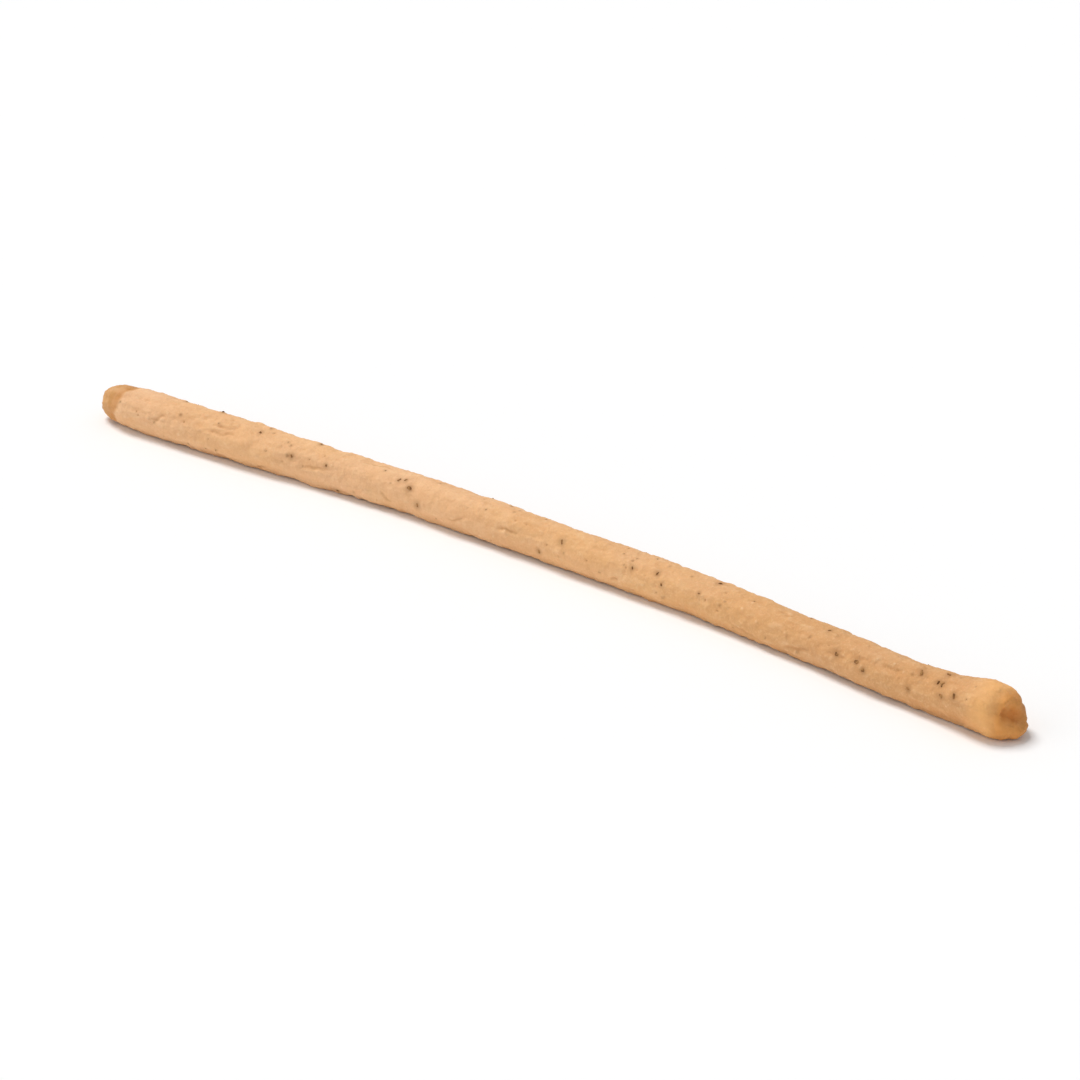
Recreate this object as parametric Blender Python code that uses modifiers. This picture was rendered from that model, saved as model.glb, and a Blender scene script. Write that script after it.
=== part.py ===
"""Grissini breadstick: one thin, hand-rolled stick of crisp bread, modelled as one solid.

Metres, +Z up. The stick lies along X on the flat underside that it was baked on, with its
plain end at -X and its swollen, pinched end, the knob, at +X.
"""
import math

import bmesh
import bpy
from mathutils import Vector, noise

MM = 0.001

# thickness and length
STICK_LENGTH = 222.4 * MM
BODY_RADIUS = 4.0 * MM        # half the thickness of the body
RADIUS_GAIN = 0.1 * MM        # how much more it is beside the knob
SWELLS = (                    # place along the stick from 0 to 1, added radius, half-length
    (0.08, 0.34 * MM, 22 * MM),
    (0.27, -0.1 * MM, 18 * MM),
    (0.53, 0.08 * MM, 16 * MM),
    (0.76, -0.24 * MM, 26 * MM),
    (0.968, 0.95 * MM, 6.0 * MM),
)

# rounded ends
PLAIN_CAP = 9.5 * MM          # length of the rounding at the plain end
KNOB_CAP = 5.5 * MM           # and at the knob
PLAIN_BLUNTNESS = 2.0         # 2 is a plain ellipse, more is squarer
KNOB_BLUNTNESS = 2.2

# crease that the cutter pinched into the knob's face, which it left slanted; the lighter one
# at the plain end makes no hollow and only flattens its tip
CREASE_DEPTH = 1.2 * MM
CREASE_HALF_LENGTH = 3.4 * MM
CREASE_HALF_WIDTH = 1.6 * MM
CREASE_OFFSET = 0.6 * MM      # sideways from the middle of the face
KNOB_CREASE_TILT = math.radians(-13)
PLAIN_CREASE_TILT = math.radians(15)
PLAIN_CREASE_SHARE = 0.7      # of the knob's crease, in depth and in size
KNOB_SLANT = math.tan(math.radians(20))
SLANT_SIDE = (-0.85, 0.52)    # across and up: the side of the knob that was cut shorter

# line of the stick: its bends in the plane it lies on, and its underside
BEND_SHIFT = 4.5 * MM         # two gentle bends to the same side run into each other
BEND_PLACES = (0.36, 0.66)
BEND_HALF_LENGTH = 45 * MM
SOLE_HALF_ANGLE = math.radians(30)
SOLE_ROUNDING = 0.2 * MM

# unevenness of the rolled dough, as shares of the radius
OVALNESS = 0.018
OVAL_TURNS = 0.8              # how far the oval section twists along the stick
LUMP_SHARE = 0.045
LUMP_LENGTH = 7 * MM
FOLD_SHARE = 0.03
FOLD_LENGTH = 24 * MM
FOLDS_AROUND = 2.4

# fineness of the mesh
SEGMENTS = 40
BODY_RINGS = 84
CAP_RINGS = 14
RING_CROWDING = 0.5           # how much closer the rings stand towards the ends

CRUST_COLOUR = (0.78, 0.47, 0.24, 1.0)
CRUST_ROUGHNESS = 0.75


def clear_scene():
    for item in list(bpy.data.objects):
        bpy.data.objects.remove(item, do_unlink=True)


def summed(bumps, place):
    """What rounded bumps add up to at a place from 0 to 1 along the stick."""
    total = 0.0
    for centre, height, half_length in bumps:
        distance = (place - centre) * STICK_LENGTH
        total += height * math.exp(-((distance / half_length) ** 2))
    return total


def body_radius(place):
    """Radius of the stick before its ends are rounded."""
    return BODY_RADIUS + RADIUS_GAIN * place + summed(SWELLS, place)


def cap_points(length, bluntness):
    """Distance from the tip and share of the radius, from the tip to where the body starts."""
    points = []
    for ring in range(CAP_RINGS):
        angle = math.pi / 2 * ring / CAP_RINGS
        distance = length * (1 - math.cos(angle) ** (2 / bluntness))
        points.append((distance, math.sin(angle) ** (2 / bluntness)))
    return points


def outline():
    """Half of the long section: pairs of height and radius, from the knob down to the plain end."""
    points = [
        (STICK_LENGTH - distance, share) for distance, share in cap_points(KNOB_CAP, KNOB_BLUNTNESS)
    ]
    body_length = STICK_LENGTH - KNOB_CAP - PLAIN_CAP
    for ring in range(BODY_RINGS + 1):
        turn = math.tau * ring / BODY_RINGS
        down = (turn - RING_CROWDING * math.sin(turn)) / math.tau
        points.append((STICK_LENGTH - KNOB_CAP - body_length * down, 1.0))
    points += reversed(cap_points(PLAIN_CAP, PLAIN_BLUNTNESS))
    return [(height, share * body_radius(height / STICK_LENGTH)) for height, share in points]


def turned_stick(name):
    """The plain turned stick, standing on its plain end."""
    profile = bpy.data.meshes.new(name)
    points = outline()
    edges = [(i, i + 1) for i in range(len(points) - 1)]
    profile.from_pydata([(radius, 0, height) for height, radius in points], edges, [])
    stick = bpy.data.objects.new(name, profile)
    bpy.context.scene.collection.objects.link(stick)
    turn = stick.modifiers.new("Turn", "SCREW")
    turn.steps = SEGMENTS
    turn.render_steps = SEGMENTS
    turn.use_merge_vertices = True
    turn.merge_threshold = 0.00001
    bpy.context.view_layer.objects.active = stick
    bpy.ops.object.modifier_apply(modifier=turn.name)
    return stick


def unevenness(along, across, up):
    """Share by which the rolled dough is thicker or thinner towards a direction."""
    angle = math.atan2(up, across)
    oval = math.cos(2 * (angle - math.tau * OVAL_TURNS * along / STICK_LENGTH))
    lumps = noise.noise(Vector((along / LUMP_LENGTH, across, up)))
    folds = noise.noise(Vector((along / FOLD_LENGTH, across * FOLDS_AROUND, up * FOLDS_AROUND)))
    return OVALNESS * oval + LUMP_SHARE * lumps + FOLD_SHARE * folds


def crease(across, up, tilt, share):
    """Depth of an end's crease at a point of its face."""
    lengthwise = across * math.cos(tilt) + up * math.sin(tilt)
    sideways = up * math.cos(tilt) - across * math.sin(tilt) - CREASE_OFFSET * share
    length_fade = (lengthwise / (CREASE_HALF_LENGTH * share)) ** 4
    width_fade = (sideways / (CREASE_HALF_WIDTH * share)) ** 2
    return CREASE_DEPTH * share * math.exp(-length_fade - width_fade)


def flattened(height):
    """Height above the tray: what would be under it is pressed flat, with a rounded edge."""
    if height <= -SOLE_ROUNDING:
        return 0.0
    if height >= SOLE_ROUNDING:
        return height
    return (height + SOLE_ROUNDING) ** 2 / (4 * SOLE_ROUNDING)


def formed(point):
    """Where a point of the standing turned stick lies on the finished one."""
    along, radius = point.z, math.hypot(point.x, point.y)
    place = along / STICK_LENGTH
    across, up = point.x, point.y
    if radius > 0:
        growth = 1 + unevenness(along, across / radius, up / radius)
        across, up = across * growth, up * growth

    if along > STICK_LENGTH - KNOB_CAP:
        along -= crease(across, up, KNOB_CREASE_TILT, 1.0)
    elif along < PLAIN_CAP:
        along += crease(across, up, PLAIN_CREASE_TILT, PLAIN_CREASE_SHARE)
    nearness = math.exp(-(STICK_LENGTH - point.z) / KNOB_CAP)
    along -= KNOB_SLANT * nearness * (across * SLANT_SIDE[0] + up * SLANT_SIDE[1])

    bend = summed([(centre, BEND_SHIFT, BEND_HALF_LENGTH) for centre in BEND_PLACES], place)
    centre_height = body_radius(place) * math.cos(SOLE_HALF_ANGLE)
    return Vector((along, across + bend, flattened(up + centre_height)))


def shape_stick(stick):
    """Lay the turned stick down along X as rolled, bent, pinched and baked flat underneath."""
    for vertex in stick.data.vertices:
        vertex.co = formed(vertex.co)


def centre_on_origin(stick):
    """Move the mesh so that the middle of its box is over the origin."""
    places = [vertex.co.copy() for vertex in stick.data.vertices]
    for axis in (0, 1):
        low = min(place[axis] for place in places)
        high = max(place[axis] for place in places)
        for vertex in stick.data.vertices:
            vertex.co[axis] -= (low + high) / 2


def close_and_face_outward(stick):
    shell = bmesh.new()
    shell.from_mesh(stick.data)
    bmesh.ops.recalc_face_normals(shell, faces=shell.faces)
    bmesh.ops.triangulate(shell, faces=shell.faces)
    shell.to_mesh(stick.data)
    shell.free()


def crust_material():
    material = bpy.data.materials.new("crust")
    material.use_nodes = True
    shader = material.node_tree.nodes["Principled BSDF"]
    shader.inputs["Base Color"].default_value = CRUST_COLOUR
    shader.inputs["Roughness"].default_value = CRUST_ROUGHNESS
    shader.inputs["Metallic"].default_value = 0.0
    return material


def build_breadstick():
    stick = turned_stick("breadstick")
    shape_stick(stick)
    centre_on_origin(stick)
    close_and_face_outward(stick)
    stick.data.materials.append(crust_material())
    collection = bpy.data.collections.new("grissini_breadstick")
    bpy.context.scene.collection.children.link(collection)
    bpy.context.scene.collection.objects.unlink(stick)
    collection.objects.link(stick)


clear_scene()
build_breadstick()
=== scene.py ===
import math
import random
import bpy
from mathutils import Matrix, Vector, noise
from mathutils.kdtree import KDTree


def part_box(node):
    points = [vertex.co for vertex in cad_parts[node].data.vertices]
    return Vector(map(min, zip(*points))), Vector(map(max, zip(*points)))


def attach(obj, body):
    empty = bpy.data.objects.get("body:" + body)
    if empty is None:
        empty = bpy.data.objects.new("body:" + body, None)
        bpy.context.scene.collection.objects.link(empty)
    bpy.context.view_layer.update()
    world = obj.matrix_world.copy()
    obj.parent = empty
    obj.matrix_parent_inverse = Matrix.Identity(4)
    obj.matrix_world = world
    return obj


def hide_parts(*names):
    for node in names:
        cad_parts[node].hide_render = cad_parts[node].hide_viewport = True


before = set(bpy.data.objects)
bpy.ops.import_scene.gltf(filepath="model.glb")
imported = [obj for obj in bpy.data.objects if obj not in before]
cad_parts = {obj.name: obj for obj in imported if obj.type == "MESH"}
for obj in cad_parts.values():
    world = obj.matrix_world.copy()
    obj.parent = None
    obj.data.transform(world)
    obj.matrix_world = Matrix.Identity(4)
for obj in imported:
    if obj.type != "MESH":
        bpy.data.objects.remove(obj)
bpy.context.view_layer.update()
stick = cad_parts["breadstick"]
lowest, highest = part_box("breadstick")
stickLength = highest.x - lowest.x
mm = 0.001
outside = highest.z * 2         # rays at the stick start this far from its middle
middleSteps = 200               # its middle is worked out at so many places along it
middleReach = 3 * mm            # from the points this near
fadeReach = 2.5                 # a round mark has faded out at so many times its reach
bpy.context.tool_settings.mesh_select_mode = (True, False, False)
print("frame loaded, stick", round(stickLength / mm, 1), "mm long")


class Wire:  # a shader socket that can be used in a sum
    def __init__(self, tree, socket=None):
        self.tree = tree
        self.socket = socket

    def add(self, kind, settings, inputs, output=0):
        node = self.tree.nodes.new(kind)
        for name, value in settings.items():
            setattr(node, name, value)
        for name, value in inputs.items():
            if isinstance(value, Wire):
                self.tree.links.new(value.socket, node.inputs[name])
            else:
                node.inputs[name].default_value = value
        return Wire(self.tree, node.outputs[output])

    def math(self, operation, first, second):
        return self.add("ShaderNodeMath", {"operation": operation}, {0: first, 1: second})

    def __add__(self, other):
        return self.math("ADD", self, other)

    def __sub__(self, other):
        return self.math("SUBTRACT", self, other)

    def __rsub__(self, other):
        return self.math("SUBTRACT", other, self)

    def __mul__(self, other):
        return self.math("MULTIPLY", self, other)

    __radd__ = __add__
    __rmul__ = __mul__

    def rise(self, start, end):  # 0 at start, 1 at end, smooth between
        return self.add(
            "ShaderNodeMapRange",
            {"interpolation_type": "SMOOTHSTEP"},
            {"Value": self, "From Min": start, "From Max": end},
        )

    def blend(self, base, top):  # this value says how much of top covers base
        return self.add("ShaderNodeMix", {"data_type": "RGBA"}, {0: self, 6: base, 7: top}, 2)

    def noise(self, place, size, detail=2.0, stretch=(1, 1, 1), offset=(0, 0, 0)):
        moved = self.add("ShaderNodeMapping", {}, {"Vector": place, "Scale": stretch, "Location": offset})
        return self.add("ShaderNodeTexNoise", {}, {"Vector": moved, "Scale": 1 / size, "Detail": detail})

    def read(self, name):  # a value noted on the mesh
        return self.add("ShaderNodeAttribute", {"attribute_name": name}, {}, "Fac")

    def feed(self, shader, name):
        self.tree.links.new(self.socket, shader.inputs[name])


def newMaterial(name, roughness):
    material = bpy.data.materials.new(name)
    material.use_nodes = True
    shader = material.node_tree.nodes["Principled BSDF"]
    shader.inputs["Roughness"].default_value = roughness
    return material, shader, Wire(material.node_tree)


def pick(piece):
    bpy.ops.object.select_all(action="DESELECT")
    piece.select_set(True)
    bpy.context.view_layer.objects.active = piece


def change(piece, kind, settings):  # adds a modifier and applies it
    pick(piece)
    modifier = piece.modifiers.new(kind.lower(), kind)
    for name, value in settings.items():
        setattr(modifier, name, value)
    bpy.ops.object.modifier_apply(modifier=modifier.name)


def middleAt(along):
    near = [point.co for point in stick.data.vertices if abs(point.co.x - along) < middleReach]
    ys = [point.y for point in near]
    zs = [point.z for point in near]
    return Vector((along, (min(ys) + max(ys)) / 2, (min(zs) + max(zs)) / 2))


stickMiddles = [
    middleAt(lowest.x + step / middleSteps * stickLength) for step in range(middleSteps + 1)
]


def spotOn(piece, share, degrees):  # 0 degrees faces -Y, 90 faces up
    middle = stickMiddles[round(share * middleSteps)].copy()
    middle.x = lowest.x + share * stickLength
    outward = Vector((0, -math.cos(math.radians(degrees)), math.sin(math.radians(degrees))))
    found, spot, normal, face = piece.ray_cast(middle + outward * outside, -outward)
    return spot, normal


def noteValues(piece, name, values):
    piece.data.attributes.new(name, "FLOAT", "POINT").data.foreach_set("value", values)


def nearby(piece, marks):  # how much each point is covered by round marks: place, reach, strength
    points = piece.data.vertices
    tree = KDTree(len(points))
    for point in points:
        tree.insert(point.co, point.index)
    tree.balance()
    covered = [0.0] * len(points)
    for spot, reach, strength in marks:
        for place, index, distance in tree.find_range(spot, reach * fadeReach):
            covered[index] = max(covered[index], strength * math.exp(-((distance / reach) ** 2)))
    return covered


# The skin of the stick, with the lip where it ends beside the plain end's cap.

crustShape = {
    "faceSize": 0.28 * mm,
    "smoothing": 4,
    "pinchCrest": 0.10 * mm,    # how much more the crest beside the pinch stands up
    "lipFromTip": 7.2 * mm,
    "lipLean": 0.45,
    "lipBow": 0.04 / mm,
    "lipWave": 0.8 * mm,
    "lipWaveLength": 3 * mm,
    "lipEdge": 1.2 * mm,        # how far the step at the lip is spread
    "capSink": 0.16 * mm,
    "lipRoll": 0.03 * mm,
    "rollWidth": 1.3 * mm,
    "smoothEnds": 0.90,         # share of the finer roughness that is left on the ends
    "knobSkin": 9 * mm,         # how far the smoother skin of the knob reaches
    "crestPasses": 300,         # rounds of smoothing that crests are measured from
    "crestFrom": 0.35,          # how far above that a crest starts, in mm
    "crestOver": 0.25,          # and how much more until it is full
    "pitPasses": 12,            # rounds of smoothing that dents are measured from
    # how far inside each tip its smoothing starts, where it is full, and its rounds
    "knobTip": (5.0 * mm, 2.0 * mm, 80),
    "plainTip": (4.5 * mm, 1.5 * mm, 70),
}

crustWrinkles = {
    "seed": 5,
    "depth": 0.24 * mm,
    "reach": 0.38 * mm,
    "wobble": 12,               # degrees that each strays around the stick
    "wobbleLength": 2.0 * mm,
    "count": 44,
    "reachAlong": (0.012, 0.04),  # how far each runs, as a share of the length
    "turns": (-25, 25),           # and how many degrees around
    "shares": (0.06, 0.90),       # where they start, as a share of the length
    "angles": (-60, 240),         # and in degrees around
    "closeness": 2.5,             # how many marks make up each reach of a wrinkle
    "degreesHigh": 115,           # so many degrees around are as long as the stick is high
    "fade": 0.1,                  # 0 fades it out at its ends, 0.5 not at all
}

# the folds and pleats of the knob are lines over it
knobLines = {
    "aim": 4 * mm,              # their angles are seen from a place this far inside its tip
    "steps": 24,
    "sway": 3,                  # how quickly each strays as it runs off the tip
    "fade": 0.05,
    "foldWobble": 10,           # degrees that each fold strays around the knob
}

# where the end was pinched off, one side stands up in a crest beside a dent; places are degrees
# off the tip and degrees around it, where 0 faces -Y and 90 faces up
knobFolds = [
    {"name": "crest", "first": (68, -35), "last": (66, 85), "reach": 0.9 * mm, "height": 0.40 * mm},
    {"name": "dent", "first": (42, 34), "last": (-26, 18), "reach": 1.2 * mm, "height": -0.75 * mm},
    {"name": "fold", "first": (55, -14), "last": (54, 76), "reach": 0.55 * mm, "height": -0.36 * mm},
    {"name": "rim", "first": (40, -55), "last": (38, -130), "reach": 1.1 * mm, "height": 0.16 * mm},
]

knobPleats = {
    "wobble": 16,
    "count": 5,
    "uneven": 14,               # degrees that each strays from an even spacing
    "starts": (24, 36),         # degrees off the tip
    "ends": (66, 82),
    "reach": 1.2,               # as a share of a wrinkle's
}

# soft swellings and thin furrows, longer along the stick than around it
crustFolds = [
    {"name": "swellings", "along": 14 * mm, "around": 3.4 * mm, "height": 0.36 * mm},
    {"name": "lumps", "along": 5.0 * mm, "around": 3.2 * mm, "height": 0.24 * mm},
    {"name": "ripples", "along": 10 * mm, "around": 1.4 * mm, "height": 0.10 * mm, "skin": True},
    {
        "name": "furrows", "along": 6 * mm, "around": 1.8 * mm, "height": 0.12 * mm,
        "skin": True, "hard": True,
    },
    {"name": "pimples", "along": 1.8 * mm, "around": 1.4 * mm, "height": 0.14 * mm, "skin": True},
    {"name": "grit", "along": 0.75 * mm, "around": 0.7 * mm, "height": 0.10 * mm, "skin": True},
]

crustDots = [  # round spots: how far apart, how wide as a share of that, how high
    {"name": "bubble", "apart": 2.4 * mm, "reach": 0.40, "height": 0.10 * mm},
    {"name": "blister", "apart": 3.4 * mm, "reach": 0.16, "height": 0.13 * mm},
    {"name": "pore", "apart": 2.8 * mm, "reach": 0.14, "height": -0.28 * mm},
]


def copyOfStick(name):
    piece = bpy.data.objects.new(name, stick.data.copy())
    bpy.context.scene.collection.objects.link(piece)
    piece.data.name = name
    piece.data.materials.clear()
    pick(piece)
    bpy.ops.object.mode_set(mode="EDIT")
    bpy.ops.mesh.select_all(action="SELECT")
    bpy.ops.mesh.remove_doubles(threshold=0.001 * mm)
    bpy.ops.mesh.customdata_custom_splitnormals_clear()
    bpy.ops.mesh.tris_convert_to_quads()
    bpy.ops.object.mode_set(mode="OBJECT")
    return piece


def places(piece):
    return [point.co.copy() for point in piece.data.vertices]


def weigh(piece, name, shares):
    group = piece.vertex_groups.new(name=name)
    for number, share in enumerate(shares):
        group.add([number], min(max(share, 0), 1), "REPLACE")


def push(piece, name, shares, strength):  # moves each point along its normal by its share of strength
    weigh(piece, name, shares)
    change(piece, "DISPLACE", {"vertex_group": name, "mid_level": 0, "strength": strength})


def pastLip(place):  # distance from the lip towards the knob, less than 0 on the cap
    rise = place.z - highest.z / 2
    lean = crustShape["lipLean"] * rise + crustShape["lipBow"] * rise ** 2
    wave = crustShape["lipWave"] * noise.noise(place / crustShape["lipWaveLength"])
    return place.x - lowest.x - crustShape["lipFromTip"] - lean - wave


def rollShare(beyond):
    return math.exp(-beyond / crustShape["rollWidth"]) if beyond > 0 else 0


def skinShare(place):
    toKnob = (highest.x - place.x) / crustShape["knobSkin"]
    rough = min(max(toKnob * 2 - 1, 0), 1) if pastLip(place) > 0 else 0
    return crustShape["smoothEnds"] + (1 - crustShape["smoothEnds"]) * rough


def formLip(piece):
    beyond = [pastLip(place) for place in places(piece)]
    push(piece, "sunk", [0.5 - far / crustShape["lipEdge"] / 2 for far in beyond], -crustShape["capSink"])
    push(piece, "rolled", [rollShare(far) for far in beyond], crustShape["lipRoll"])
    noteValues(piece, "fromLip", [far / mm for far in beyond])


def depthUnder(piece, passes):  # how deep each point lies under a smoothed copy, in mm
    smoother = bpy.data.objects.new("smoother", piece.data.copy())
    bpy.context.scene.collection.objects.link(smoother)
    change(smoother, "SMOOTH", {"factor": 0.5, "iterations": passes})
    pairs = zip(piece.data.vertices, smoother.data.vertices)
    deep = [(above.co - point.co).dot(point.normal) / mm for point, above in pairs]
    bpy.data.objects.remove(smoother)
    return deep


def raiseCrests(piece):
    deep = depthUnder(piece, crustShape["crestPasses"])
    noteValues(piece, "hollow", deep)
    above = [(-far - crustShape["crestFrom"]) / crustShape["crestOver"] for far in deep]
    push(piece, "crested", above, crustShape["pinchCrest"])


def faded(part, fade):  # how strong a line is at a part of its length
    return math.sin(math.pi * (fade + (1 - 2 * fade) * part))


def wrinkleMarks(piece, start, end):
    turned = abs(end[1] - start[1]) * highest.z / crustWrinkles["degreesHigh"]
    length = abs(end[0] - start[0]) * stickLength + turned
    steps = max(int(length / crustWrinkles["reach"] * crustWrinkles["closeness"]), 2)
    marks = []
    for step in range(steps + 1):
        part = step / steps
        share = start[0] + (end[0] - start[0]) * part
        seed = Vector((share * stickLength / crustWrinkles["wobbleLength"], start[1], 0))
        degrees = start[1] + (end[1] - start[1]) * part + crustWrinkles["wobble"] * noise.noise(seed)
        spot, normal = spotOn(piece, share, degrees)
        marks.append((spot, crustWrinkles["reach"], faded(part, crustWrinkles["fade"])))
    return marks


def knobMarks(piece, first, last, wobble, reach):  # a line over the knob between two such places
    centre = middleAt(highest.x - knobLines["aim"])
    marks = []
    for step in range(knobLines["steps"] + 1):
        part = step / knobLines["steps"]
        off = math.radians(first[0] + (last[0] - first[0]) * part)
        around = first[1] + (last[1] - first[1]) * part
        stray = wobble * noise.noise(Vector((off * knobLines["sway"], first[1], 0)))
        turn = math.radians(around + stray)
        outward = Vector((math.cos(off), -math.sin(off) * math.cos(turn), math.sin(off) * math.sin(turn)))
        found, spot, normal, face = piece.ray_cast(centre + outward * outside, -outward)
        marks.append((spot, reach, faded(part, knobLines["fade"])))
    return marks


def roundTip(piece, name, inside):  # inside is how far each point is from the tip
    start, full, rounds = crustShape[name]
    weigh(piece, name, [(start - far) / (start - full) for far in inside])
    change(piece, "SMOOTH", {"factor": 0.5, "iterations": rounds, "vertex_group": name})


def foldKnob(piece):
    for fold in knobFolds:
        marks = knobMarks(piece, fold["first"], fold["last"], knobLines["foldWobble"], fold["reach"])
        push(piece, fold["name"], nearby(piece, marks), fold["height"])


def pressWrinkles(piece):
    random.seed(crustWrinkles["seed"])
    marks = []
    for number in range(crustWrinkles["count"]):
        start = (random.uniform(*crustWrinkles["shares"]), random.uniform(*crustWrinkles["angles"]))
        further = random.uniform(*crustWrinkles["reachAlong"])
        turn = random.uniform(*crustWrinkles["turns"])
        marks.extend(wrinkleMarks(piece, start, (start[0] + further, start[1] + turn)))
    reach = crustWrinkles["reach"] * knobPleats["reach"]
    for number in range(knobPleats["count"]):
        around = 360 / knobPleats["count"] * number + random.uniform(-1, 1) * knobPleats["uneven"]
        first = (random.uniform(*knobPleats["starts"]), around)
        last = (random.uniform(*knobPleats["ends"]), around)
        marks.extend(knobMarks(piece, first, last, knobPleats["wobble"], reach))
    shares = nearby(piece, marks)
    push(piece, "wrinkled", shares, -crustWrinkles["depth"])
    noteValues(piece, "wrinkle", shares)


def roughen(piece, texture, size, middle, height, group):
    guide = bpy.data.objects.new(texture.name, None)
    bpy.context.scene.collection.objects.link(guide)
    guide.scale = size
    bpy.context.view_layer.update()
    change(piece, "DISPLACE", {
        "texture": texture,
        "texture_coords": "OBJECT",
        "texture_coords_object": guide,
        "vertex_group": group,
        "mid_level": middle,
        "strength": height,
    })
    bpy.data.objects.remove(guide)


def addFolds(piece, folds):
    texture = bpy.data.textures.new(folds["name"], "CLOUDS")
    texture.noise_scale = 1.0
    texture.noise_depth = 1
    texture.noise_type = "HARD_NOISE" if folds.get("hard") else "SOFT_NOISE"
    size = (folds["along"], folds["around"], folds["around"])
    roughen(piece, texture, size, 0.5, folds["height"] * 2, "skin" if folds.get("skin") else "")


def addDots(piece, dots):
    texture = bpy.data.textures.new(dots["name"], "VORONOI")
    texture.noise_scale = 1.0
    texture.use_color_ramp = True
    texture.color_ramp.interpolation = "EASE"
    middle, edge = texture.color_ramp.elements
    middle.color = (1, 1, 1, 1)
    edge.color = (0, 0, 0, 1)
    edge.position = dots["reach"]
    size = (dots["apart"], dots["apart"], dots["apart"])
    before = places(piece)
    roughen(piece, texture, size, 0, dots["height"], "skin")
    pairs = zip(places(piece), before)
    noteValues(piece, dots["name"], [(place - old).length / abs(dots["height"]) for place, old in pairs])


def pressFlat(piece):  # the stick lay flat on its tray
    for point in piece.data.vertices:
        point.select = point.co.z < 0
    pick(piece)
    bpy.ops.object.mode_set(mode="EDIT")
    bpy.ops.transform.resize(value=(1, 1, 0), center_override=(0, 0, 0))
    bpy.ops.object.mode_set(mode="OBJECT")


def makeCrust():
    piece = copyOfStick("crust")
    change(piece, "SUBSURF", {"levels": 2, "render_levels": 2})
    change(piece, "REMESH", {
        "mode": "VOXEL", "voxel_size": crustShape["faceSize"], "use_smooth_shade": True,
    })
    change(piece, "SMOOTH", {"factor": 0.5, "iterations": crustShape["smoothing"]})
    roundTip(piece, "knobTip", [highest.x - place.x for place in places(piece)])
    roundTip(piece, "plainTip", [place.x - lowest.x for place in places(piece)])
    foldKnob(piece)
    raiseCrests(piece)
    formLip(piece)
    pressWrinkles(piece)
    weigh(piece, "skin", [skinShare(place) for place in places(piece)])
    for folds in crustFolds:
        addFolds(piece, folds)
    for dots in crustDots:
        addDots(piece, dots)
    pressFlat(piece)
    noteValues(piece, "pit", depthUnder(piece, crustShape["pitPasses"]))
    piece.vertex_groups.clear()
    pick(piece)
    bpy.ops.object.shade_smooth()
    print("crust made,", len(piece.data.polygons), "faces")
    return piece


crust = makeCrust()

# Cracked pepper baked into the dough.

pepperShape = {
    "seed": 23,
    "kinds": 5,
    "roughness": 0.1,           # how far its points are moved before it is cut
    "cuts": 5,
    "cutDepths": (0.22, 0.36),  # from the middle of a grain that is 1 across
    "sizes": (0.55, 1.15),      # in mm
    "widths": (0.6, 0.95),      # as shares of its size
    "heights": (0.45, 0.8),
    "sunk": (0.0, 0.18),        # how deep it lies in the crust
    "scattered": 32,
    "bunches": [                # where the dough took up more of it
        {"share": 0.93, "angle": 34, "spread": 2.8 * mm, "count": 8},
        {"share": 0.32, "angle": 50, "spread": 6 * mm, "count": 5},
    ],
    "crumbs": 36,
    "crumbSizes": (0.2, 0.4),
    "shares": (0.02, 0.98),     # how much of the length it covers
    "lastShare": 0.985,         # and where a bunch stops
    "angles": (-44, 224),       # and of the way around, where 0 faces -Y and 90 faces up
}


def scatter(count, sizes):  # seeded places: share of the length, angle around, size
    found = []
    for number in range(count):
        share = random.uniform(*pepperShape["shares"])
        found.append((share, random.uniform(*pepperShape["angles"]), random.uniform(*sizes)))
    return found


def gather(bunch):
    found = []
    for number in range(bunch["count"]):
        share = min(random.gauss(bunch["share"], bunch["spread"] / stickLength), pepperShape["lastShare"])
        turn = math.degrees(bunch["spread"] / (highest.z / 2))
        degrees = max(random.gauss(bunch["angle"], turn), pepperShape["angles"][0])
        found.append((share, degrees, random.uniform(*pepperShape["sizes"])))
    return found


def modelGrain(number):  # a cracked peppercorn splinter, one unit across
    bpy.ops.object.select_all(action="DESELECT")
    bpy.ops.mesh.primitive_ico_sphere_add(subdivisions=2, radius=0.5)
    grain = bpy.context.active_object
    bpy.ops.object.mode_set(mode="EDIT")
    bpy.ops.transform.vertex_random(offset=pepperShape["roughness"], seed=number)
    for cut in range(pepperShape["cuts"]):
        side = Vector([random.gauss(0, 1) for axis in range(3)]).normalized()
        bpy.ops.mesh.select_all(action="SELECT")
        middle = side * random.uniform(*pepperShape["cutDepths"])
        bpy.ops.mesh.bisect(plane_co=middle, plane_no=side, use_fill=True, clear_outer=True)
    bpy.ops.mesh.select_all(action="SELECT")
    bpy.ops.mesh.normals_make_consistent(inside=False)
    bpy.ops.object.mode_set(mode="OBJECT")
    return grain


def placeGrain(kind, spot, normal, size):
    grain = bpy.data.objects.new("grain", kind.data.copy())
    bpy.context.scene.collection.objects.link(grain)
    grain.rotation_euler = normal.to_track_quat("Z", "Y").to_euler()
    grain.rotation_euler.rotate_axis("Z", random.uniform(0, math.tau))
    width = size * random.uniform(*pepperShape["widths"])
    grain.scale = (size, width, size * random.uniform(*pepperShape["heights"]))
    grain.location = spot - normal * size * random.uniform(*pepperShape["sunk"])
    return grain


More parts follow.
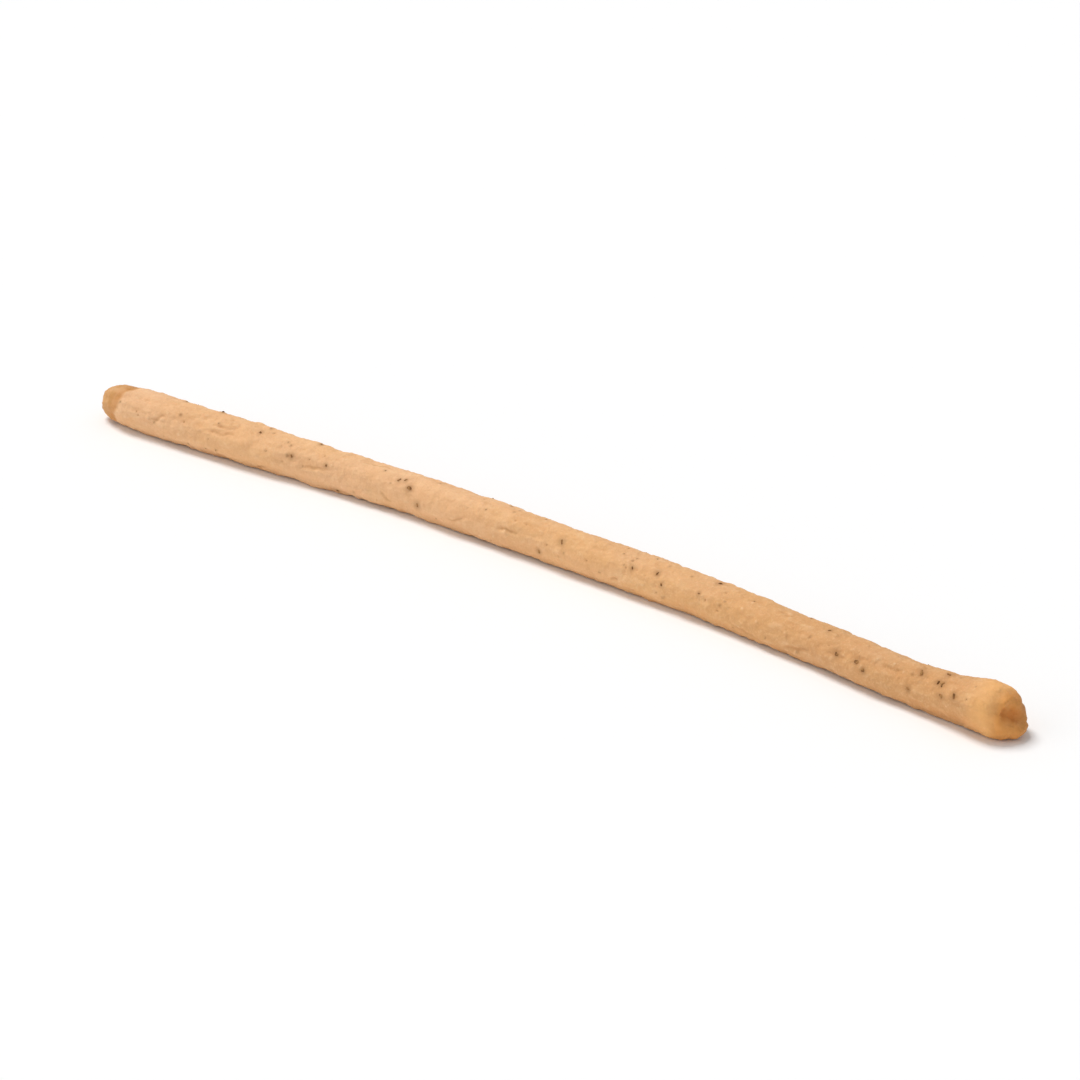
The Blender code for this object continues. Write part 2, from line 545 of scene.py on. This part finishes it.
def makePepper():
    random.seed(pepperShape["seed"])
    kinds = [modelGrain(number) for number in range(pepperShape["kinds"])]
    wanted = scatter(pepperShape["scattered"], pepperShape["sizes"])
    wanted += scatter(pepperShape["crumbs"], pepperShape["crumbSizes"])
    for bunch in pepperShape["bunches"]:
        wanted += gather(bunch)
    grains = []
    spots = []
    for share, degrees, size in wanted:
        spot, normal = spotOn(crust, share, degrees)
        spots.append((spot, size * mm))
        grains.append(placeGrain(random.choice(kinds), spot, normal, size * mm))
    for kind in kinds:
        bpy.data.objects.remove(kind)
    bpy.ops.object.select_all(action="DESELECT")
    for grain in grains:
        grain.select_set(True)
    bpy.context.view_layer.objects.active = grains[0]
    bpy.ops.object.join()
    bpy.ops.object.transform_apply(location=True, rotation=True, scale=True)
    piece = bpy.context.active_object
    piece.name = "pepper"
    piece.data.name = "pepper"
    print("pepper made,", len(grains), "grains,", len(piece.data.polygons), "faces")
    return piece, spots


pepper, pepperSpots = makePepper()

# Brown marks that the pepper leaves in the skin, and specks that lie under it.

stainShape = {
    "seed": 11,
    "haloReach": 0.85,          # as a share of the grain's size
    "haloStrength": 0.55,
    "buried": 60,
    "sizes": (0.35, 0.75),
    "buriedReach": 0.5,
    "buriedStrengths": (0.5, 1),
}


def noteStains(piece, spots):
    random.seed(stainShape["seed"])
    marks = [(spot, size * stainShape["haloReach"], stainShape["haloStrength"]) for spot, size in spots]
    for share, degrees, size in scatter(stainShape["buried"], stainShape["sizes"]):
        spot, normal = spotOn(crust, share, degrees)
        strength = random.uniform(*stainShape["buriedStrengths"])
        marks.append((spot, size * stainShape["buriedReach"] * mm, strength))
    noteValues(piece, "stain", nearby(piece, marks))


noteStains(crust, pepperSpots)

crustLook = {
    "pink": (0.86, 0.520, 0.292, 1),
    "golden": (0.83, 0.465, 0.195, 1),
    # paler dough in random patches, and painted light on raised dough and blisters
    "pale": (0.95, 0.660, 0.385, 1),
    # darker crust in random patches, cracks and underneath, and painted shade in dents, wrinkles and towards
    # the knob
    "toastedAndShade": (0.56, 0.280, 0.110, 1),
    # the knob's own gold, brighter on its raised crest as a painted highlight
    "crest": (0.92, 0.470, 0.155, 1),
    "endGold": (0.68, 0.275, 0.058, 1),
    # painted shade in the knob's folds, and fainter as the painted shadow under the lip
    "hollow": (0.60, 0.205, 0.034, 1),
    "capGold": (0.56, 0.265, 0.075, 1),
    "stain": (0.34, 0.155, 0.050, 1),
    # painted shade on the far side of the knob's pinched face
    "farSideShade": (0.36, 0.140, 0.034, 1),
    "roughness": 0.66,
}
knobMiddle = middleAt(highest.x - knobLines["aim"])

# "over" is where a colour starts and where it is full, "cover" how much of it there is then
bodyPatches = [
    {"name": "mottle", "size": 2.4 * mm, "detail": 4.0, "over": (0.52, 0.72), "cover": 0.18, "in": "pale"},
    {"name": "dark", "size": 2.4 * mm, "detail": 4.0, "over": (0.46, 0.28), "cover": 0.14, "in": "toastedAndShade"},
    {"name": "flour", "size": 0.35 * mm, "detail": 3.0, "over": (0.52, 0.70), "cover": 0.22, "in": "pale"},
    {"name": "dust", "size": 0.35 * mm, "detail": 3.0, "over": (0.46, 0.30), "cover": 0.16, "in": "toastedAndShade"},
]

reliefLightAndShade = [  # painted light on raised dough and blisters, painted shade in dents, pores and wrinkles
    {"note": "pit", "over": (-0.01, -0.12), "cover": 0.30, "in": "pale"},
    {"note": "pit", "over": (0.02, 0.14), "cover": 0.40, "in": "toastedAndShade"},
    {"note": "blister", "over": (0.2, 0.8), "cover": 0.35, "in": "pale"},
    {"note": "pore", "over": (0.2, 0.8), "cover": 0.60, "in": "toastedAndShade"},
    {"note": "wrinkle", "over": (0.3, 1.0), "cover": 0.45, "in": "toastedAndShade"},
]

bodyLook = {
    "doughSize": 12 * mm,             # soft patches from pink to golden
    "doughStretch": (0.4, 1, 1),
    "doughOver": (0.38, 0.62),
    "turning": (10 * mm, 130 * mm),   # and how they turn golden along the stick, from the plain tip
    "bakedSize": 26 * mm,
    "bakedStretch": (0.5, 1, 1),
    "bakedOffset": (0.3, 0, 0),
    "bakedOver": (0.45, 0.75),
    "bakedCover": 0.20,
    "knobShade": (120 * mm, 190 * mm),   # darker towards the knob, in part painted shade
    "knobShadeCover": 0.54,
    "under": 2.4 * mm,                # how high the darker underside reaches
    "underCover": 0.45,
}

endLook = {
    "patchSize": 2.0 * mm,
    "patchOver": (0.30, 0.70),
    "knob": (11 * mm, 6 * mm),        # how far inside its tip the knob's colour starts and is full
    "face": (5.0 * mm, 2.5 * mm),     # the same for its pinched face
    "shadedFarSide": (-1.5 * mm, 4 * mm),   # the same across it, from its middle, for the painted shade on the face's far side
    # the depth where the crest's painted highlight and the folds' painted shade start and are full
    "crest": (-0.28, -0.50),          # in mm under the smoothed skin, less than 0 above it
    "hollow": (-0.38, 0.32),
    "cap": (0.6, -0.8),               # in mm from the lip
    # painted shadow on the cap next to the overhanging lip
    "lipShadow": (-4.0, -0.6),
    "lipShadowCover": 0.30,
}

endCover = {  # the least of its colour that each place has, and how much more at most
    "crest": (0.55, 0.35),
    "face": (0.65, 0.25),
    "shadedFarSide": (0.35, 0.3),
    "hollow": (0.6, 0.3),
    "cap": (0.55, 0.4),
}

crackLook = {  # hairline cracks of the dried skin, in patches
    "apart": 1.5 * mm,
    "width": 0.07,
    "bendSize": 1.0 * mm,
    "bendBy": 0.8 * mm,
    "patchSize": 5 * mm,
    "patchStretch": (0.6, 1, 1),
    "patchOffset": (0.7, 0, 0),
    "patchOver": (0.40, 0.62),
    "cover": 0.15,
}

grainLook = {  # each grain of the skin: how wide, and its share of the height
    "tooth": 0.5 * mm,
    "toothShare": 0.55,
    "fine": 0.16 * mm,
    "fineShare": 0.20,
    "cells": 0.8 * mm,
    "cellsOver": (0.0, 0.35),
    "cellsShare": 0.25,
    "crackShare": 0.12,
    "height": 0.18 * mm,
    "strength": 0.9,
}

crustSheen = {
    "patchSize": 0.6 * mm,
    "roughest": 0.2,                  # how much rougher it is in patches than the least
    "least": 0.58,
    "specular": 0.35,
    "through": 0.05,                  # light that shows through the dough, how far, in which colours
    "throughDepth": 0.6 * mm,
    "throughColours": (1.0, 0.45, 0.2),
}


def bodyColour(start, place, along):  # pale baked dough in soft patches, darker towards the knob in part as painted shade
    dough = start.noise(place, bodyLook["doughSize"], detail=3.0, stretch=bodyLook["doughStretch"])
    turning = along.rise(*[lowest.x + far for far in bodyLook["turning"]])
    golden = dough.rise(*bodyLook["doughOver"]) * 0.5 + turning * 0.5
    colour = golden.blend(crustLook["pink"], crustLook["golden"])
    baked = start.noise(
        place, bodyLook["bakedSize"], stretch=bodyLook["bakedStretch"], offset=bodyLook["bakedOffset"]
    )
    baked = baked.rise(*bodyLook["bakedOver"]) * bodyLook["bakedCover"]
    colour = baked.blend(colour, crustLook["toastedAndShade"])
    # painted shade in part: the crust turns darker towards the knob
    knobShade = along.rise(*[lowest.x + far for far in bodyLook["knobShade"]])
    colour = (knobShade * bodyLook["knobShadeCover"]).blend(colour, crustLook["toastedAndShade"])
    for patch in bodyPatches:
        cover = start.noise(place, patch["size"], patch["detail"]).rise(*patch["over"]) * patch["cover"]
        colour = cover.blend(colour, crustLook[patch["in"]])
    return colour


# painted light on raised dough and painted shade in its dents, pores and wrinkles
def paintReliefLightAndShade(start, colour):
    for mark in reliefLightAndShade:
        cover = start.read(mark["note"]).rise(*mark["over"]) * mark["cover"]
        colour = cover.blend(colour, crustLook[mark["in"]])
    return colour


def covering(patches, name):
    least, more = endCover[name]
    return patches * more + least


def endColour(start, colour, place, along, across):  # the ends bake a deeper gold, with a painted highlight on the knob's crest and painted shade in its folds, on its far side and on the cap under the lip
    patches = start.noise(place, endLook["patchSize"], detail=4.0).rise(*endLook["patchOver"])
    hollow = start.read("hollow")
    knob = along.rise(*[highest.x - far for far in endLook["knob"]])
    # the knob's own gold, with a painted highlight where its crest stands up
    crest = hollow.rise(*endLook["crest"])
    colour = (knob * covering(crest, "crest")).blend(colour, crustLook["crest"])
    # the pinched face bakes a deeper gold, darkened further as painted shade
    face = along.rise(*[highest.x - far for far in endLook["face"]])
    colour = (face * covering(patches, "face")).blend(colour, crustLook["endGold"])
    # painted shade on the far side of the pinched face, away from the light
    shadedFarSide = face * across.rise(*[knobMiddle.y + far for far in endLook["shadedFarSide"]])
    colour = (shadedFarSide * covering(patches, "shadedFarSide")).blend(colour, crustLook["farSideShade"])
    # painted shade in the folds of the pinched end
    deep = hollow.rise(*endLook["hollow"])
    colour = (deep * covering(patches, "hollow")).blend(colour, crustLook["hollow"])
    fromLip = start.read("fromLip")
    cap = fromLip.rise(*endLook["cap"])
    colour = (cap * covering(patches, "cap")).blend(colour, crustLook["capGold"])
    # painted shadow on the cap next to the overhanging lip, in the hollow's colour
    lipShadow = cap * fromLip.rise(*endLook["lipShadow"])
    return (lipShadow * endLook["lipShadowCover"]).blend(colour, crustLook["hollow"])


def crackle(start, place):  # 1 in the cracks, 0 between them
    bent = start.noise(place, crackLook["bendSize"]) * crackLook["bendBy"]
    moved = start.add("ShaderNodeVectorMath", {"operation": "ADD"}, {0: place, 1: bent})
    edges = start.add(
        "ShaderNodeTexVoronoi", {"feature": "DISTANCE_TO_EDGE"},
        {"Vector": moved, "Scale": 1 / crackLook["apart"]}, "Distance",
    )
    patches = start.noise(
        place, crackLook["patchSize"], stretch=crackLook["patchStretch"], offset=crackLook["patchOffset"]
    )
    return patches.rise(*crackLook["patchOver"]) * edges.rise(crackLook["width"], 0.0)


def crustBump(start, place, cracks):
    tooth = start.noise(place, grainLook["tooth"], detail=5.0) * grainLook["toothShare"]
    fine = start.noise(place, grainLook["fine"]) * grainLook["fineShare"]
    cells = start.add(
        "ShaderNodeTexVoronoi", {}, {"Vector": place, "Scale": 1 / grainLook["cells"]}, "Distance"
    )
    height = tooth + fine + cells.rise(*grainLook["cellsOver"]) * grainLook["cellsShare"]
    height = height + (1 - cracks) * grainLook["crackShare"]
    return start.add("ShaderNodeBump", {}, {
        "Height": height, "Strength": grainLook["strength"], "Distance": grainLook["height"],
    })


def crustMaterial():
    material, shader, start = newMaterial("crust", crustLook["roughness"])
    place = start.add("ShaderNodeTexCoord", {}, {}, "Object")
    parts = {"Vector": place}
    along, across, up = [start.add("ShaderNodeSeparateXYZ", {}, parts, axis) for axis in "XYZ"]
    cracks = crackle(start, place)
    colour = paintReliefLightAndShade(start, bodyColour(start, place, along))
    under = up.rise(bodyLook["under"], 0.0) * bodyLook["underCover"]
    colour = under.blend(colour, crustLook["toastedAndShade"])
    colour = endColour(start, colour, place, along, across)
    colour = (cracks * crackLook["cover"]).blend(colour, crustLook["toastedAndShade"])
    start.read("stain").blend(colour, crustLook["stain"]).feed(shader, "Base Color")
    rougher = start.noise(place, crustSheen["patchSize"]) * crustSheen["roughest"]
    (rougher + crustSheen["least"]).feed(shader, "Roughness")
    crustBump(start, place, cracks).feed(shader, "Normal")
    shader.inputs["Specular IOR Level"].default_value = crustSheen["specular"]
    shader.inputs["Subsurface Weight"].default_value = crustSheen["through"]
    shader.inputs["Subsurface Radius"].default_value = crustSheen["throughColours"]
    shader.inputs["Subsurface Scale"].default_value = crustSheen["throughDepth"]
    return material


crust.data.materials.append(crustMaterial())
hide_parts("breadstick")
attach(crust, "root")

pepperLook = {
    "dark": (0.20, 0.092, 0.032, 1),
    "brown": (0.46, 0.235, 0.085, 1),
    "patchSize": 0.9 * mm,
    "patchOver": (0.40, 0.62),
    "roughness": 0.85,
    "shine": 0.2,
}


def pepperMaterial():
    material, shader, start = newMaterial("pepper", pepperLook["roughness"])
    shader.inputs["Specular IOR Level"].default_value = pepperLook["shine"]
    place = start.add("ShaderNodeTexCoord", {}, {}, "Object")
    patches = start.noise(place, pepperLook["patchSize"], detail=4.0).rise(*pepperLook["patchOver"])
    patches.blend(pepperLook["dark"], pepperLook["brown"]).feed(shader, "Base Color")
    return material


pepper.data.materials.append(pepperMaterial())
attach(pepper, "root")

# The table it is shown on.

studio = {
    "floorSize": 40,
    "floorColour": (0.95, 0.95, 0.95, 1),
    "floorRoughness": 0.9,
    "sky": (0.45, 0.45, 0.45, 1),
    "wall": (1.05, 1.05, 1.05, 1),
    "wallTop": (0.06, 0.14),      # how high the white wall reaches, as a share of straight up
    "lights": [  # where it shines from, strength, how wide it looks in degrees
        {"name": "key", "place": (-0.45, 0.05, 0.9), "strength": 1.95, "width": 25},
        {"name": "fill", "place": (-0.50, -0.80, 0.35), "strength": 0.45, "width": 60},
    ],
    "azimuth": 40,
    "elevation": 25,
    "distance": 0.96,
    "lens": 172,
}


def makeFloor():
    bpy.ops.mesh.primitive_plane_add(size=studio["floorSize"])
    floor = bpy.context.active_object
    floor.name = "floor"
    material, shader, start = newMaterial("floor", studio["floorRoughness"])
    shader.inputs["Base Color"].default_value = studio["floorColour"]
    floor.data.materials.append(material)


def makeLights():
    for lamp in studio["lights"]:
        bpy.ops.object.light_add(type="SUN", location=lamp["place"])
        light = bpy.context.active_object
        light.name = lamp["name"]
        light.data.energy = lamp["strength"]
        light.data.angle = math.radians(lamp["width"])
        light.rotation_euler = Vector(lamp["place"]).to_track_quat("Z", "Y").to_euler()


def makeWorld():
    world = bpy.data.worlds.new("studio")
    bpy.context.scene.world = world
    world.use_nodes = True
    background = world.node_tree.nodes["Background"]
    start = Wire(world.node_tree)
    toward = start.add("ShaderNodeTexCoord", {}, {}, "Generated")
    up = start.add("ShaderNodeSeparateXYZ", {}, {"Vector": toward}, "Z")
    up.rise(*studio["wallTop"]).blend(studio["wall"], studio["sky"]).feed(background, "Color")


def makeCamera():
    azimuth = math.radians(studio["azimuth"])
    elevation = math.radians(studio["elevation"])
    back = Vector((
        math.sin(azimuth) * math.cos(elevation),
        -math.cos(azimuth) * math.cos(elevation),
        math.sin(elevation),
    ))
    middle = (lowest + highest) / 2
    bpy.ops.object.camera_add(location=middle + back * studio["distance"])
    camera = bpy.context.active_object
    camera.rotation_euler = back.to_track_quat("Z", "Y").to_euler()
    camera.data.lens = studio["lens"]
    bpy.context.scene.camera = camera


makeFloor()
makeLights()
makeWorld()
makeCamera()
bpy.context.scene.view_settings.view_transform = "Standard"
print("studio ready")
